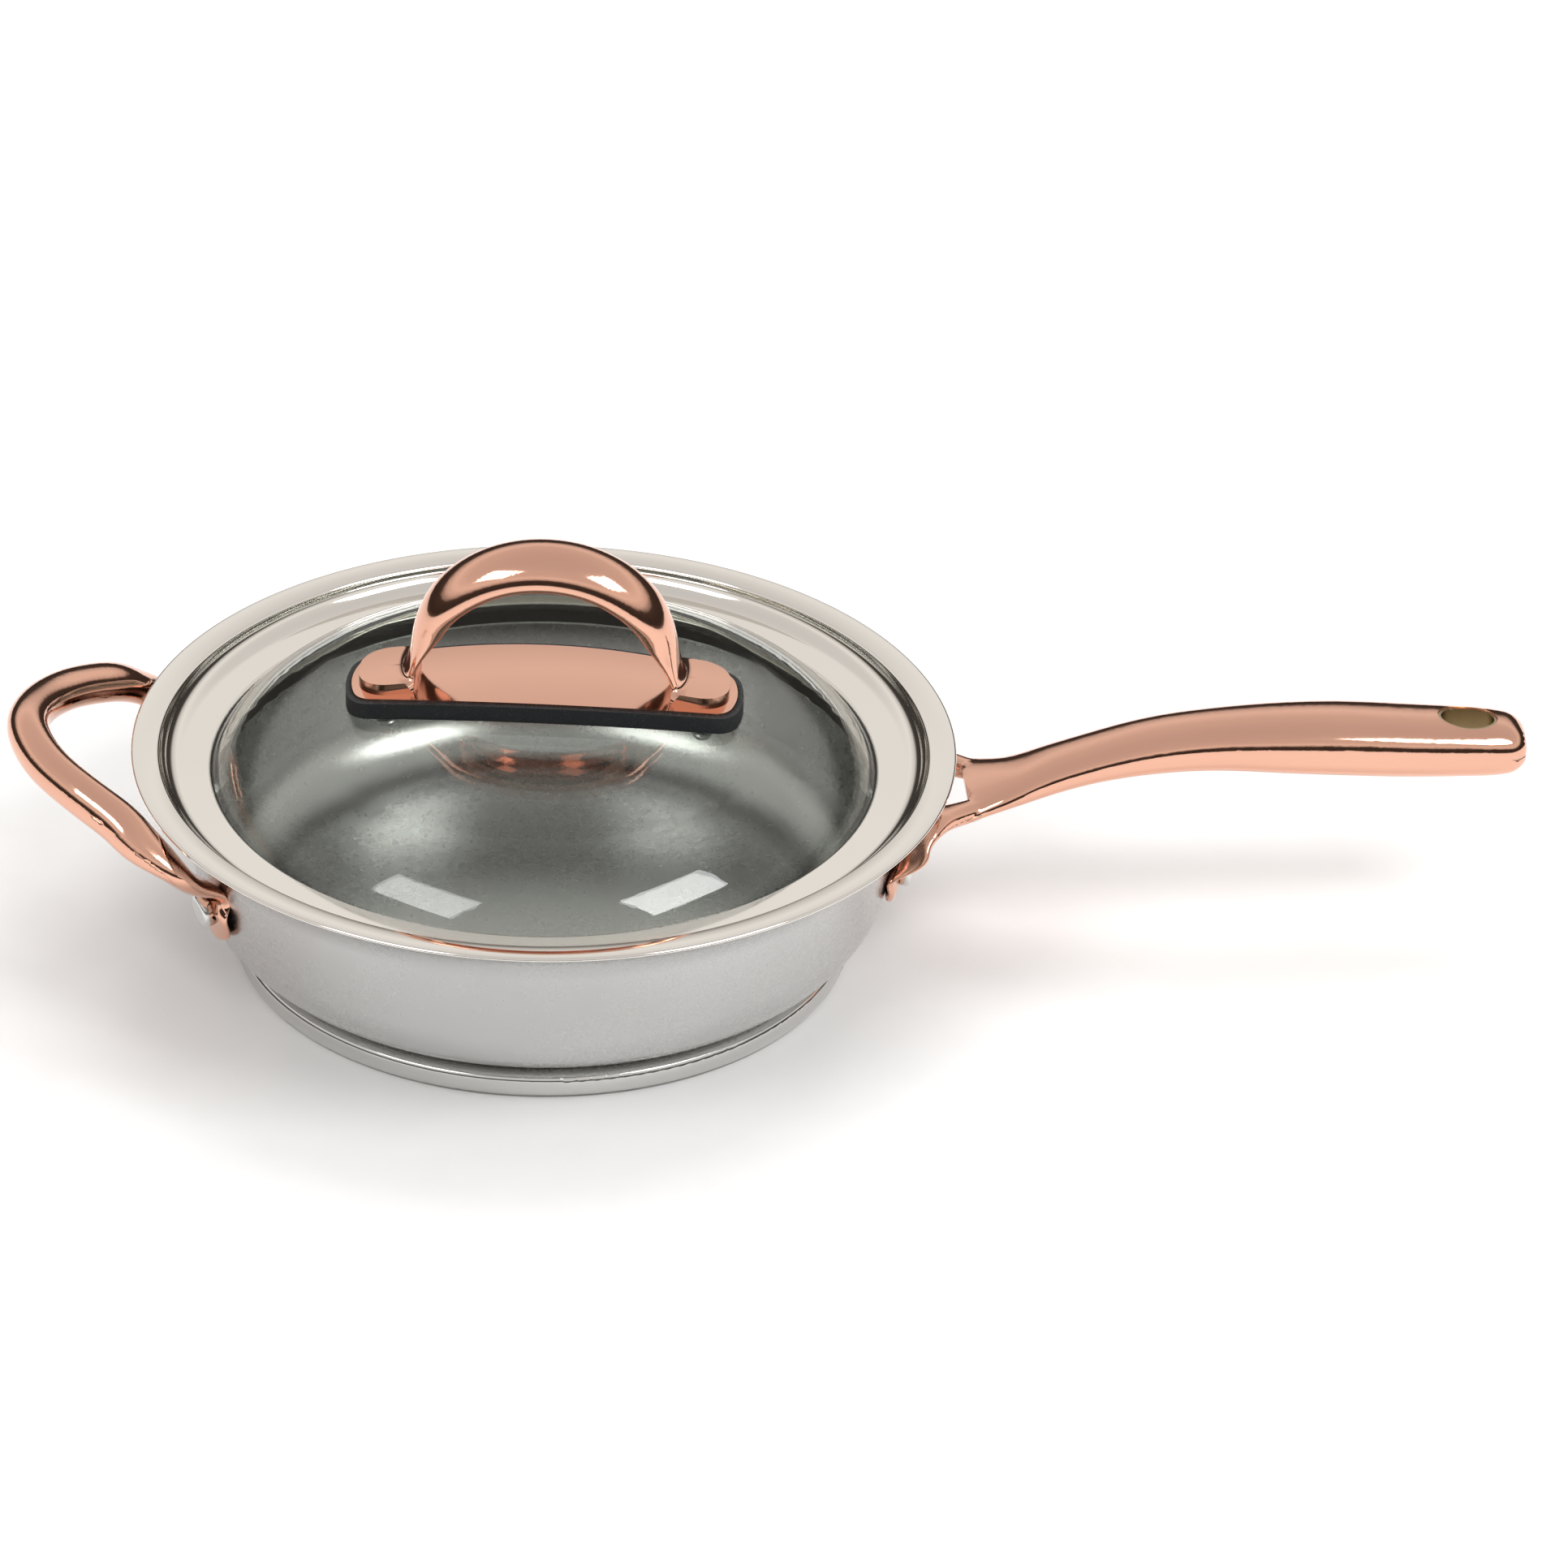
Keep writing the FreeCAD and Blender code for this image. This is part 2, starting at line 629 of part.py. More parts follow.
def glass_clamp_ring():
    """Channel under the band that holds the glass and its seal up against the rim."""
    bottom = band_height() - RIM_SHEET - SEAL_HEIGHT
    moves = [
        (SEAL_REACH + SEAL_INNER_REACH - CLAMP_BEND, 0),
        (CLAMP_BEND, 90),
        (SEAL_HEIGHT - 2 * CLAMP_BEND, 0),
        (CLAMP_BEND, -90),
        (CLAMP_FLANGE, 0),
    ]
    start = (lip_radius() - SEAL_INNER_REACH, bottom)
    return sheet(start, 0, moves, -CLAMP_SHEET).cut([lid_rim(), glass_seal()])


# --- grip -------------------------------------------------------------------------------------
def crown_centre():
    """Centre of the glass's crown, about which the grip's layers are curved."""
    return V(0, 0, crown_height() - GLASS_CROWN_RADIUS)


def layer(outline, low, high):
    """Upright prism kept between two heights over the glass, both curved like it."""
    floor = Part.makeSphere(GLASS_CROWN_RADIUS + low, crown_centre())
    roof = Part.makeSphere(GLASS_CROWN_RADIUS + high, crown_centre())
    return outline.common(roof).cut(floor)


def boat(margin):
    """Prism of the pad's outline, drawn in by a margin: bowed sides and rounded ends."""
    length = PAD_HALF_LENGTH - margin
    width = PAD_HALF_WIDTH - margin
    end = PAD_END_HALF_WIDTH - margin
    bow = 3.0
    corners = [V(length - bow, -end, 0), V(length - bow, end, 0), V(bow - length, end, 0), V(bow - length, -end, 0)]
    tips = [V(length, 0, 0), V(0, width, 0), V(-length, 0, 0), V(0, -width, 0)]
    edges = []
    for index in range(4):
        edges.append(Part.Arc(corners[index], tips[index], corners[(index + 1) % 4]).toShape())
    prism = Part.Face(Part.Wire(edges)).extrude(V(0, 0, TALL))
    upright = [edge for edge in prism.Edges if abs(edge.Length - TALL) < 1]
    return prism.makeFillet(PAD_CORNER - margin, upright)


def plate_floor():
    return PAD_HEIGHT + PLATE_PROUD - PLATE_SHEET


def plate_top():
    return PAD_HEIGHT + PLATE_PROUD


def turned(shape):
    """Turn a piece of the grip from +X to the grip's own direction."""
    shape.rotate(ORIGIN, UP, GRIP_TURN)
    return shape


def stud_cylinders(radius, low=-BIG / 4, high=BIG / 4, turn=True):
    """Two cylinders square to the glass at the studs, between two heights over it."""
    pieces = []
    tilt = math.degrees(math.asin(STUD_REACH / GLASS_CROWN_RADIUS))
    for side in (-1, 1):
        piece = Part.makeCylinder(radius, high - low, V(0, 0, crown_height() + low))
        piece.rotate(crown_centre(), V(0, 1, 0), side * tilt)
        pieces.append(piece)
    group = Part.makeCompound(pieces)
    return turned(group) if turn else group


def grommet_radius():
    return STUD_RADIUS + STUD_HOLE_GAP + GROMMET_WALL


def grip_pad():
    """Black pad with a shallow pocket for the plate."""
    body = layer(boat(0), 0, PAD_HEIGHT).cut(layer(boat(PLATE_MARGIN), plate_floor(), BIG / 4))
    return turned(body).cut(stud_cylinders(STUD_RADIUS + STUD_HOLE_GAP))


def grip_plate():
    body = layer(boat(PLATE_MARGIN), plate_floor(), plate_top())
    return turned(body).cut(stud_cylinders(STUD_RADIUS + STUD_HOLE_GAP))


def strap_section(ridge, inner, half_width, hollow):
    """Points of a crescent from an inner point to a ridge point; its under side is cupped."""
    over = ridge - inner
    across = V(0, half_width, 0)
    points = []
    for index in range(SECTION_POINTS):
        turn = 2 * math.pi * index / SECTION_POINTS
        high = math.sin(turn)
        if high >= 0:
            lift = STRAP_LIP + (1 - STRAP_LIP) * high
        else:
            dip = STRAP_ROLL * high * (1 + high)
            lift = STRAP_LIP + dip + (hollow - STRAP_LIP) * high * high
        points.append(inner + across * math.cos(turn) + over * lift)
    return points


def strap():
    """Arched strap between the two feet, from ankle to ankle."""
    base = crown_height() + plate_top()
    half = []
    for angle, height, half_width, hollow in ARCH_STATIONS:
        turn = math.radians(angle)
        ridge = V(ARCH_HALF_SPAN * math.sin(turn), 0, base + ARCH_SPRING + ARCH_RISE * math.cos(turn))
        outward = V(ARCH_RISE * math.sin(turn), 0, ARCH_HALF_SPAN * math.cos(turn)).normalize()
        half.append((ridge, ridge - outward * height, half_width, hollow))
    for ridge_x, ridge_z, inner_x, inner_z, half_width, hollow in ANKLE_STATIONS:
        half.append((V(ridge_x, 0, base + ridge_z), V(inner_x, 0, base + inner_z), half_width, hollow))
    mirrored = [(V(-a.x, 0, a.z), V(-b.x, 0, b.z), wide, hollow) for a, b, wide, hollow in half[1:]]
    stations = mirrored[::-1] + half
    middles = [(ridge + inner) * 0.5 for ridge, inner, wide, hollow in stations]
    return skinned([strap_section(*item) for item in stations], middles)


def foot():
    """Tongue-shaped foot on the plate, on the +X side."""
    body = Part.makeBox(FOOT_TIP - FOOT_ROOT, 2 * FOOT_HALF_WIDTH, TALL, V(FOOT_ROOT, -FOOT_HALF_WIDTH, 0))
    corners = [edge for edge in body.Edges if abs(edge.Length - TALL) < 1 and edge.CenterOfMass.x > FOOT_TIP - 1]
    body = body.makeFillet(FOOT_CORNER, corners)
    return layer(body, plate_top(), plate_top() + FOOT_THICKNESS)


def grip_arch():
    right = foot()
    left = right.mirror(ORIGIN, V(1, 0, 0))
    arch = strap().fuse([right, left]).cut(layer(boat(0), -BIG / 4, plate_top()))
    return turned(arch.removeSplitter())


def under_glass():
    return -GLASS_THICKNESS


def grip_studs():
    """Studs welded under the feet, through plate, pad and glass."""
    low = under_glass() - SOFT_WASHER_THICKNESS - WASHER_THICKNESS - NUT_HEIGHT
    return stud_cylinders(STUD_RADIUS, low, plate_top() + FOOT_THICKNESS / 2).cut(grip_arch())


def glass_grommets():
    sleeve = stud_cylinders(grommet_radius(), under_glass(), 0)
    return sleeve.cut(stud_cylinders(STUD_RADIUS + STUD_HOLE_GAP)).cut(grip_pad())


def soft_washers():
    low = under_glass() - SOFT_WASHER_THICKNESS
    disc = stud_cylinders(SOFT_WASHER_RADIUS, low, under_glass() + 0.2)
    return disc.cut([stud_cylinders(STUD_RADIUS + STUD_HOLE_GAP), glass_grommets(), lid_glass()])


def steel_washers():
    low = under_glass() - SOFT_WASHER_THICKNESS - WASHER_THICKNESS
    disc = stud_cylinders(WASHER_RADIUS, low, low + WASHER_THICKNESS)
    return disc.cut(stud_cylinders(STUD_RADIUS + STUD_HOLE_GAP))


def cap_nuts():
    """Hexagon nuts with a domed cap over each stud's end."""
    seat = under_glass() - SOFT_WASHER_THICKNESS - WASHER_THICKNESS
    corner = NUT_ACROSS_FLATS / math.sqrt(3)
    points = [V(corner * math.cos(math.radians(60 * k)), corner * math.sin(math.radians(60 * k)), 0) for k in range(7)]
    nut = Part.Face(Part.makePolygon(points)).extrude(V(0, 0, -NUT_HEIGHT))
    cap = Part.makeSphere(NUT_CAP_RADIUS, V(0, 0, -NUT_HEIGHT))
    bore = Part.makeCylinder(STUD_RADIUS, NUT_HEIGHT + STUD_END_GAP, V(0, 0, -NUT_HEIGHT - STUD_END_GAP))
    nut = nut.fuse(cap).cut(bore)
    nut = nut.cut(Part.makeBox(BIG, BIG, BIG, V(-BIG / 2, -BIG / 2, 0)))
    nut.translate(V(0, 0, crown_height() + seat))
    tilt = math.degrees(math.asin(STUD_REACH / GLASS_CROWN_RADIUS))
    pieces = []
    for side in (-1, 1):
        piece = nut.copy()
        piece.rotate(crown_centre(), V(0, 1, 0), side * tilt)
        pieces.append(turned(piece))
    return Part.makeCompound(pieces)


def build():
    long_upper, long_lower = long_handle_halves()
    helper_upper, helper_lower = helper_handle_halves()
    return {
        "pan_body": pan_body(),
        "base_heat_disc": base_heat_disc(),
        "base_capsule": base_capsule(),
        "long_handle_upper_shell": long_upper,
        "long_handle_lower_shell": long_lower,
        "hang_hole_sleeve": hang_hole_sleeve(),
        "long_handle_rivets": trimmed_rivets(LONG_RIVET_ANGLE, 0),
        "helper_handle_inner_shell": helper_upper,
        "helper_handle_outer_shell": helper_lower,
        "helper_handle_rivets": trimmed_rivets(HELPER_RIVET_ANGLE, 180),
        "lid_rim": lid_rim(),
        "lid_glass": lid_glass(),
        "glass_seal": glass_seal(),
        "glass_clamp_ring": glass_clamp_ring(),
        "grip_pad": grip_pad(),
        "grip_plate": grip_plate(),
        "grip_arch": grip_arch(),
        "grip_studs": grip_studs(),
        "glass_grommets": glass_grommets(),
        "soft_washers": soft_washers(),
        "steel_washers": steel_washers(),
        "cap_nuts": cap_nuts(),
    }


def main():
    os.makedirs("parts", exist_ok=True)
    for name, shape in build().items():
        box = shape.BoundBox
        sizes = [round(value, 1) for value in (box.XMin, box.XMax, box.YMin, box.YMax, box.ZMin, box.ZMax)]
        print(name, "solids", len(shape.Solids), "valid", shape.isValid(), "volume", round(shape.Volume), sizes)
        shape.exportStep("parts/" + name + ".step")


main()
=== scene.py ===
import math

import bmesh
import bpy
from mathutils import Matrix, Vector


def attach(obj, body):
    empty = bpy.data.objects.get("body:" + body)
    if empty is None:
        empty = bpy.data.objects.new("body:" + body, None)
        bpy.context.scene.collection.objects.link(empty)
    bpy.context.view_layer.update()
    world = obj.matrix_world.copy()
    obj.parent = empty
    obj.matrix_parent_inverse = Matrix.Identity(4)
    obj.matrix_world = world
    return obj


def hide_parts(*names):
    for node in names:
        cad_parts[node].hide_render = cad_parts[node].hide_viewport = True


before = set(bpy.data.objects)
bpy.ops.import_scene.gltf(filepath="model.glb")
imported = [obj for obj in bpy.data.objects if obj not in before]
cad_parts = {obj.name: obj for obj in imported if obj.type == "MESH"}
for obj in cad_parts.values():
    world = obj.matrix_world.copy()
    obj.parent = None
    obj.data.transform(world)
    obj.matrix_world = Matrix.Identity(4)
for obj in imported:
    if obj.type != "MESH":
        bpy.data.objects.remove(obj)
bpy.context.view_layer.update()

MM = 0.001
AROUND = 256                 # segments of a turned piece
ARC_STEP = 5.0               # degrees between points of a turned profile
CAP_STEPS = (45, 90, 135)    # degrees at which a rounded sheet end has points
CREASE = 32.0                # edges sharper than this stay crisp, in degrees
WELD = 0.00001               # points closer than this become one, in metres

# Sheet sections of the turned pieces, in millimetres, as in the CAD model.
PAN_HEIGHT = 68.1
MOUTH_RADIUS = 112.5
WALL = 0.9
LEAN = 11.0
CORNER_RADIUS = 25.0
FLARE_RADIUS = 20.0
FLARE_TURN = 59.0
BASE_HEIGHT = 7.8
BASE_STEP = 12.8
BASE_EDGE = 3.0
BASE_SIDE = 2.6
BASE_SHOULDER = 2.2
BASE_SHOULDER_TURN = 70.0
BASE_WALL = 0.7
LIFT_GAP = 0.4
SIDE_GAP = 0.5
RIM_SHEET = 0.8
GROOVE_RADIUS = 6.4
GROOVE_TURN = 78.0
BEND_RADIUS = 1.5
FLANGE_RISE = 8.0
CROWN_RADIUS = 40.0
CROWN_TURN = 10.0
EDGE_RADIUS = 1.0
EDGE_TURN = 60.0
BAND_WIDTH = 8.2
LIP_RADIUS = 1.1
LIP_TURN = 75.0


# --- shader maths -------------------------------------------------------------------------------
class Sock:
    """A shader socket that does arithmetic by adding Math nodes."""

    def __init__(self, tree, out):
        self.tree = tree
        self.out = out

    def math(self, operation, *others):
        node = self.tree.nodes.new("ShaderNodeMath")
        node.operation = operation
        for index, value in enumerate((self,) + others):
            plug(self.tree, node.inputs[index], value)
        return Sock(self.tree, node.outputs[0])

    def __add__(self, other):
        return self.math("ADD", other)

    __radd__ = __add__

    def __mul__(self, other):
        return self.math("MULTIPLY", other)

    __rmul__ = __mul__

    def __sub__(self, other):
        return self.math("SUBTRACT", other)

    def __rsub__(self, other):
        return (self * -1.0).math("ADD", other)


def plug(tree, socket, value):
    if isinstance(value, Sock):
        tree.links.new(value.out, socket)
    else:
        socket.default_value = value


class Shade:
    """A material, or the world, and the nodes that feed it."""

    def __init__(self, owner):
        owner.use_nodes = True
        self.owner = owner
        self.tree = owner.node_tree
        self.main = self.tree.nodes.get("Principled BSDF") or self.tree.nodes.get("Background")

    def node(self, kind, output=0, settings=(), **inputs):
        made = self.tree.nodes.new(kind)
        for name, value in dict(settings).items():
            setattr(made, name, value)
        for name, value in inputs.items():
            plug(self.tree, made.inputs[name.replace("_", " ")], value)
        return Sock(self.tree, made.outputs[output])

    def set(self, **inputs):
        for name, value in inputs.items():
            plug(self.tree, self.main.inputs[name.replace("_", " ")], value)

    def place(self):
        return self.node("ShaderNodeTexCoord", "Object")

    def noise(self, where, scale, detail=3.0, roughness=0.5):
        return self.node("ShaderNodeTexNoise", "Fac", Vector=where, Scale=scale, Detail=detail,
                         Roughness=roughness)

    def ramp(self, factor, stops):
        made = self.tree.nodes.new("ShaderNodeValToRGB")
        ramp = made.color_ramp
        while len(ramp.elements) < len(stops):
            ramp.elements.new(0.5)
        for element, (position, color) in zip(ramp.elements, stops):
            element.position = position
            element.color = tuple(color) + (1.0,)
        plug(self.tree, made.inputs["Fac"], factor)
        return Sock(self.tree, made.outputs["Color"])

    def bump(self, height, distance, strength=1.0):
        return self.node("ShaderNodeBump", Height=height, Distance=distance, Strength=strength)


def shade(name):
    return Shade(bpy.data.materials.new(name))


def grade(color, gain):
    return tuple(channel * gain for channel in color)


def turned_place(mat, lines_per_metre):
    """Coordinates in which noise becomes fine rings about the pan's axis."""
    where = mat.place()
    flat = mat.node("ShaderNodeVectorMath", settings={"operation": "MULTIPLY"}, Vector=where)
    flat.out.node.inputs[1].default_value = (1, 1, 0)
    reach = mat.node("ShaderNodeVectorMath", "Value", settings={"operation": "LENGTH"}, Vector=flat)
    height = mat.node("ShaderNodeSeparateXYZ", "Z", Vector=where)
    return mat.node("ShaderNodeCombineXYZ", X=reach * lines_per_metre, Z=height * lines_per_metre)


DRIFT_SCALE = 18.0           # noise cycles per metre: slow colour drift
SMUDGE_SCALE = 420.0         # noise cycles per metre: fine smudges
FINE_GRAIN = 2600.0          # turned rings per metre on sheet steel
FINE_GRAIN_DEPTH = 0.000006
COARSE_GRAIN = 900.0         # turned rings per metre on small hardware
COARSE_GRAIN_DEPTH = 0.00002


def metal(name, color, rough, grain=0.0, grain_depth=0.0, blotch=0.03, smudge=0.05):
    """Metal with faint smudges, a little colour drift and, if asked, a fine turned grain."""
    mat = shade(name)
    where = mat.place()
    drift = mat.noise(where, DRIFT_SCALE, 2.0)
    fine = mat.noise(where, SMUDGE_SCALE, 4.0)
    mat.set(Base_Color=mat.ramp(drift, [
        (0.25, grade(color, 1.0 - blotch)), (0.75, grade(color, 1.0 + blotch))]))
    mat.set(Metallic=1.0)
    mat.set(Roughness=(drift - 0.5) * smudge + (fine - 0.5) * smudge + rough)
    if grain_depth:
        lines = mat.noise(turned_place(mat, grain), 1.0, 3.0, 0.6)
        mat.set(Normal=mat.bump(lines, grain_depth))
    return mat.owner


ROSE = (0.80, 0.45, 0.33)
rose_gold = metal("rose_gold", ROSE, 0.09, blotch=0.025, smudge=0.035)
rim_steel = metal("rim_steel", (0.83, 0.79, 0.74), 0.07, blotch=0.015, smudge=0.03)
satin_steel = metal("satin_steel", (0.56, 0.56, 0.555), 0.27, FINE_GRAIN, FINE_GRAIN_DEPTH)
base_steel = metal("base_steel", (0.66, 0.655, 0.64), 0.16, FINE_GRAIN, FINE_GRAIN_DEPTH)
rivet_metal = metal("rivet_metal", (0.74, 0.75, 0.74), 0.24, COARSE_GRAIN, COARSE_GRAIN_DEPTH,
                    smudge=0.12)
sleeve_metal = metal("sleeve_metal", (0.46, 0.38, 0.25), 0.30, COARSE_GRAIN, COARSE_GRAIN_DEPTH)
core_metal = metal("core_metal", (0.70, 0.71, 0.72), 0.4)
bright_steel = metal("bright_steel", (0.72, 0.72, 0.71), 0.16)


SPECK_SCALE = 2600.0         # noise cycles per metre: specks in moulded rubber
SHEEN_SCALE = 300.0          # noise cycles per metre: rubber that shines unevenly
RUBBER_ROUGH = 0.36
SHEEN_SPREAD = 0.25
SPECK_HEIGHT = 0.00006


def rubber(name, color, speck):
    """Dark moulded rubber with pale specks."""
    mat = shade(name)
    where = mat.place()
    dots = mat.noise(where, SPECK_SCALE, 3.0, 0.75)
    mat.set(Base_Color=mat.ramp(dots, [(0.42, color), (0.62, grade(color, 1.5)), (0.74, speck)]))
    mat.set(Roughness=mat.noise(where, SHEEN_SCALE) * SHEEN_SPREAD + RUBBER_ROUGH)
    mat.set(Normal=mat.bump(dots, SPECK_HEIGHT, 0.6))
    return mat.owner


pad_rubber = rubber("pad_rubber", (0.012, 0.014, 0.016), (0.16, 0.18, 0.19))
seal_rubber = rubber("seal_rubber", (0.012, 0.012, 0.012), (0.05, 0.05, 0.05))


HAZE_SCALE = 30.0            # noise cycles per metre
HAZE_ROUGH = 0.02
GLASS_INDEX = 1.5


def clear_glass():
    """Faintly green glass with a trace of haze."""
    mat = shade("clear_glass")
    haze = mat.noise(mat.place(), HAZE_SCALE, 3.0)
    mat.set(Base_Color=mat.ramp(haze, [(0.3, (0.80, 0.83, 0.79)), (0.7, (0.84, 0.86, 0.83))]))
    mat.set(Roughness=haze * HAZE_ROUGH)
    mat.set(IOR=GLASS_INDEX)
    mat.set(Transmission_Weight=1.0)
    return mat.owner


glass = clear_glass()


# --- turned pieces ------------------------------------------------------------------------------
def beside(x, z, angle, side):
    """The point that lies side to the left of x, z for someone walking along angle."""
    return (x - side * math.sin(angle), z + side * math.cos(angle))


def walk(start, heading, moves, side):
    """Points (mm) of straights (length, 0) and arcs (radius, turn), shifted left by side."""
    x, z = start
    angle = math.radians(heading)
    points = [beside(x, z, angle, side)]
    for size, turn in moves:
        if turn == 0:
            x += size * math.cos(angle)
            z += size * math.sin(angle)
            points.append(beside(x, z, angle, side))
            continue
        hand = math.copysign(1.0, turn)
        centre = (x - hand * size * math.sin(angle), z + hand * size * math.cos(angle))
        count = max(2, math.ceil(abs(turn) / ARC_STEP))
        for index in range(1, count + 1):
            spoke = angle + math.radians(turn) * index / count - hand * math.pi / 2
            radius = size - hand * side
            points.append((centre[0] + radius * math.cos(spoke), centre[1] + radius * math.sin(spoke)))
        angle += math.radians(turn)
        x = centre[0] + size * math.cos(angle - hand * math.pi / 2)
        z = centre[1] + size * math.sin(angle - hand * math.pi / 2)
    return points


def rounded_end(near, far):
    """Half circle of points from one end of a sheet to the other, without the ends."""
    middle = ((near[0] + far[0]) / 2, (near[1] + far[1]) / 2)
    spoke = (near[0] - middle[0], near[1] - middle[1])
    points = []
    for step in CAP_STEPS:
        turn = math.radians(step)
        points.append((
            middle[0] + spoke[0] * math.cos(turn) - spoke[1] * math.sin(turn),
            middle[1] + spoke[0] * math.sin(turn) + spoke[1] * math.cos(turn)))
    return points


def finish_piece(name, bm, node, material, body):
    mesh = bpy.data.meshes.new(name)
    bmesh.ops.remove_doubles(bm, verts=bm.verts, dist=WELD)
    bmesh.ops.recalc_face_normals(bm, faces=bm.faces)
    for face in bm.faces:
        face.smooth = True
    bm.to_mesh(mesh)
    bm.free()
    mesh.set_sharp_from_angle(angle=math.radians(CREASE))
    piece = bpy.data.objects.new(name, mesh)
    bpy.context.collection.objects.link(piece)
    mesh.materials.clear()
    mesh.materials.append(material)
    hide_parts(node)
    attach(piece, body)
    return piece


def spin(name, outline, node, material, body):
    """Closed outline (mm, across and up) turned once about the pan's axis."""
    bm = bmesh.new()
    ring = [bm.verts.new((x * MM, 0, z * MM)) for x, z in outline]
    edges = [bm.edges.new((a, b)) for a, b in zip(ring, ring[1:])]
    if min(outline[0][0], outline[-1][0]) * MM > WELD:
        edges.append(bm.edges.new((ring[-1], ring[0])))
    bmesh.ops.spin(bm, geom=ring + edges, axis=(0, 0, 1), cent=(0, 0, 0), steps=AROUND,
                   angle=2 * math.pi, use_merge=True)
    return finish_piece(name, bm, node, material, body)


def sheet_outline(start, heading, moves, thickness):
    """Closed section of a bent sheet whose far end is rounded away from the sheet."""
    near = walk(start, heading, moves, 0.0)
    far = walk(start, heading, moves, thickness)
    cap = rounded_end(near[-1], far[-1])
    middle_x = (near[-1][0] + far[-1][0]) / 2
    # A half circle that points back into the sheet is turned about its middle.
    if cap[1][0] < middle_x and near[-1][0] > near[-2][0]:
        cap = [(2 * middle_x - x, near[-1][1] + far[-1][1] - z) for x, z in cap][::-1]
    return near + cap + far[::-1]


lean = math.radians(LEAN)
edge_slope = math.radians(90 - LEAN - FLARE_TURN)
flare_start = PAN_HEIGHT - (FLARE_RADIUS + WALL) * math.cos(edge_slope) + FLARE_RADIUS * math.sin(lean)
corner_top = BASE_HEIGHT + CORNER_RADIUS * (1 - math.sin(lean))
floor_radius = (MOUTH_RADIUS - (flare_start - corner_top) * math.tan(lean)
                - CORNER_RADIUS * math.cos(lean))
base_radius = floor_radius + BASE_STEP
pan_moves = [
    (floor_radius, 0),
    (CORNER_RADIUS, 90 - LEAN),
    ((flare_start - corner_top) / math.cos(lean), 0),
    (FLARE_RADIUS, -FLARE_TURN),
]
spin("body_sheet", sheet_outline((0, BASE_HEIGHT), 0, pan_moves, WALL), "pan_body", satin_steel,
     "pan")

rise = math.radians(FLANGE_RISE)
turn = math.radians(GROOVE_TURN)
flare_x = MOUTH_RADIUS + FLARE_RADIUS * math.cos(lean)
flare_z = flare_start - FLARE_RADIUS * math.sin(lean)
under = GROOVE_RADIUS + RIM_SHEET
groove_z = (PAN_HEIGHT + LIFT_GAP - CROWN_RADIUS * (1 - math.cos(rise))
            - (BEND_RADIUS - RIM_SHEET) * (math.cos(rise) - math.cos(turn)) + under * math.cos(turn))
apart = FLARE_RADIUS + WALL + SIDE_GAP + under
groove_x = flare_x - math.sqrt(apart ** 2 - (groove_z - flare_z) ** 2)
band_z = groove_z - GROOVE_RADIUS
lip_x = groove_x - BAND_WIDTH - LIP_RADIUS * math.sin(math.radians(LIP_TURN))
rim_moves = [
    (LIP_RADIUS, -LIP_TURN),
    (BAND_WIDTH, 0),
    (GROOVE_RADIUS, GROOVE_TURN),
    (BEND_RADIUS, FLANGE_RISE - GROOVE_TURN),
    (CROWN_RADIUS, -CROWN_TURN),
    (EDGE_RADIUS, -EDGE_TURN),
]
rim_start = (lip_x, band_z - LIP_RADIUS * (1 - math.cos(math.radians(LIP_TURN))))
spin("rim_sheet", sheet_outline(rim_start, LIP_TURN, rim_moves, -RIM_SHEET), "lid_rim", rim_steel,
     "lid")


# --- pieces that keep the CAD surface, with smooth shading ---------------------------------------
def smooth(node, name, material, body):
    bm = bmesh.new()
    bm.from_mesh(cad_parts[node].data)
    return finish_piece(name, bm, node, material, body)


smooth("base_capsule", "base_shell", base_steel, "pan")
smooth("long_handle_upper_shell", "handle_top", rose_gold, "pan")
smooth("long_handle_lower_shell", "handle_under", rose_gold, "pan")
smooth("helper_handle_inner_shell", "loop_inner", rose_gold, "pan")
smooth("helper_handle_outer_shell", "loop_outer", rose_gold, "pan")
smooth("hang_hole_sleeve", "hole_sleeve", sleeve_metal, "pan")
smooth("long_handle_rivets", "handle_rivets", rivet_metal, "pan")
smooth("helper_handle_rivets", "loop_rivets", rivet_metal, "pan")
smooth("lid_glass", "glass_pane", glass, "lid")
smooth("grip_pad", "grip_gasket", pad_rubber, "lid")
smooth("grip_plate", "grip_base", rose_gold, "lid")
smooth("grip_arch", "grip_bow", rose_gold, "lid")
smooth("glass_seal", "rim_seal", seal_rubber, "lid")
smooth("cap_nuts", "dome_nuts", bright_steel, "lid")
smooth("soft_washers", "rubber_washers", seal_rubber, "lid")
smooth("steel_washers", "washers", bright_steel, "lid")
smooth("glass_clamp_ring", "clamp_channel", bright_steel, "lid")

for node, material in (("base_heat_disc", core_metal), ("grip_studs", bright_steel),
                       ("glass_grommets", seal_rubber)):
    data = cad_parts[node].data
    for index in range(len(data.materials)):
        data.materials[index] = material


# --- floor, lights and camera --------------------------------------------------------------------
FLOOR_HALF = 1.6
FIBRE_SCALE = 60.0           # noise cycles per metre
PAN_MIDDLE = (0, 0, 0.05)    # the lights' common target, in metres

# Background brightness by height, from straight down (0) to straight up (1).
SKY_STOPS = [
    (0.0, (0.5, 0.5, 0.5)),
    (0.50, (0.04, 0.035, 0.03)),
    (0.63, (0.06, 0.052, 0.047)),
    (0.68, (0.66, 0.64, 0.61)),
    (0.74, (0.92, 0.90, 0.87)),
    (0.82, (0.74, 0.72, 0.70)),
    (1.0, (0.66, 0.65, 0.64)),
]


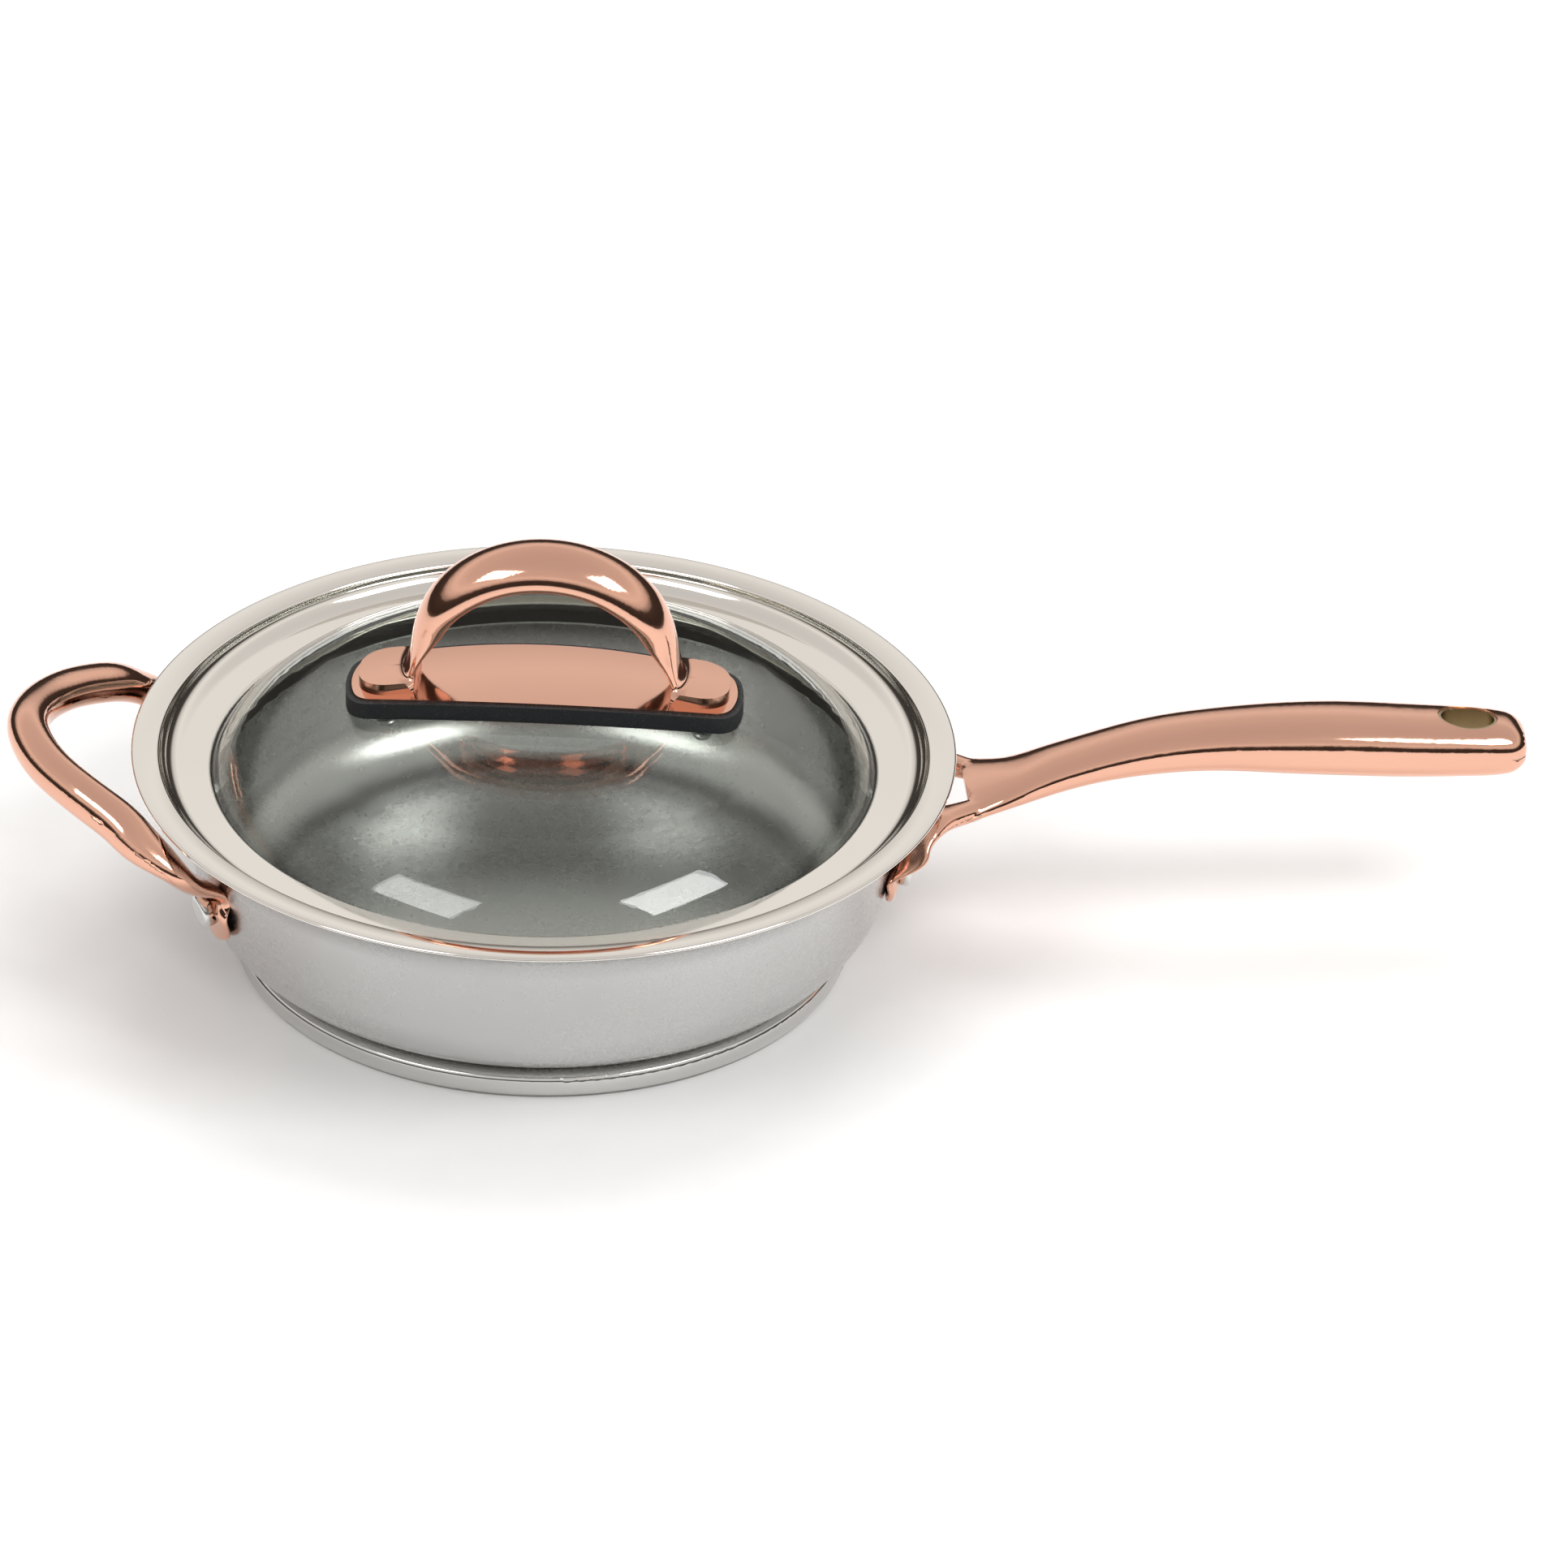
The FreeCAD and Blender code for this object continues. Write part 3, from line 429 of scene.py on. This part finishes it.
def make_floor():
    bm = bmesh.new()
    bmesh.ops.create_grid(bm, x_segments=1, y_segments=1, size=FLOOR_HALF)
    mesh = bpy.data.meshes.new("floor")
    bm.to_mesh(mesh)
    bm.free()
    floor = bpy.data.objects.new("floor", mesh)
    bpy.context.collection.objects.link(floor)
    mat = shade("paper")
    fibre = mat.noise(mat.place(), FIBRE_SCALE, 4.0)
    mat.set(Base_Color=mat.ramp(fibre, [(0.3, (0.93, 0.93, 0.93)), (0.7, (0.95, 0.95, 0.95))]))
    mat.set(Roughness=0.8)
    mesh.materials.append(mat.owner)


def make_world():
    """Bright overhead, dark round the horizon, so that polished metal has bands to show."""
    world = bpy.data.worlds.new("studio")
    bpy.context.scene.world = world
    sky = Shade(world)
    where = sky.node("ShaderNodeTexCoord", "Generated")
    up = sky.node("ShaderNodeSeparateXYZ", "Z", Vector=where)
    sky.set(Color=sky.ramp(up * 0.5 + 0.5, SKY_STOPS))
    sky.set(Strength=1.0)


def softbox(name, place, size, power, shows):
    """Rectangular light aimed at the pan; one that does not show leaves no patch on glass or metal."""
    data = bpy.data.lights.new(name, "AREA")
    data.shape = "RECTANGLE"
    data.size, data.size_y = size
    data.energy = power
    lamp = bpy.data.objects.new(name, data)
    lamp.location = place
    lamp.rotation_euler = (Vector(PAN_MIDDLE) - Vector(place)).to_track_quat("-Z", "Y").to_euler()
    lamp.visible_glossy = shows
    lamp.visible_transmission = shows
    bpy.context.collection.objects.link(lamp)


CAMERA_TURN = math.radians(5.5)
CAMERA_DOWN = math.radians(30.36)
CAMERA_ROLL = math.radians(1.36)
CAMERA_REACH = 3.013
CAMERA_LENS = 223.6
SENSOR_WIDTH = 36.0
AIM_ACROSS = -0.02463        # slopes from the view's middle to the middle of the lid's rim
AIM_UP = 0.00391
RIM_PLANE = 0.0687           # height of the lid's rim, in metres


def make_camera():
    side = Vector((math.cos(CAMERA_TURN), -math.sin(CAMERA_TURN), 0))
    level = Vector((math.sin(CAMERA_TURN), math.cos(CAMERA_TURN), 0))
    ahead = level * math.cos(CAMERA_DOWN) - Vector((0, 0, math.sin(CAMERA_DOWN)))
    over = level * math.sin(CAMERA_DOWN) + Vector((0, 0, math.cos(CAMERA_DOWN)))
    right = side * math.cos(CAMERA_ROLL) + over * math.sin(CAMERA_ROLL)
    top = over * math.cos(CAMERA_ROLL) - side * math.sin(CAMERA_ROLL)
    ray = ahead + right * AIM_ACROSS + top * AIM_UP
    place = Vector((0, 0, RIM_PLANE)) - ray * CAMERA_REACH
    data = bpy.data.cameras.new("camera")
    data.lens = CAMERA_LENS
    data.sensor_width = SENSOR_WIDTH
    camera = bpy.data.objects.new("camera", data)
    turned = Matrix((right, top, -ahead)).transposed()
    camera.matrix_world = Matrix.Translation(place) @ turned.to_4x4()
    bpy.context.collection.objects.link(camera)
    bpy.context.scene.camera = camera


make_floor()
make_world()
softbox("front_right", (1.05, -0.75, 1.55), (0.9, 0.6), 13.0, True)
softbox("front_left", (-1.05, -0.75, 1.55), (0.9, 0.6), 8.0, True)
softbox("top", (0.4, 0.9, 1.9), (1.4, 1.0), 13.0, False)
make_camera()

bpy.context.scene.view_settings.view_transform = "Standard"
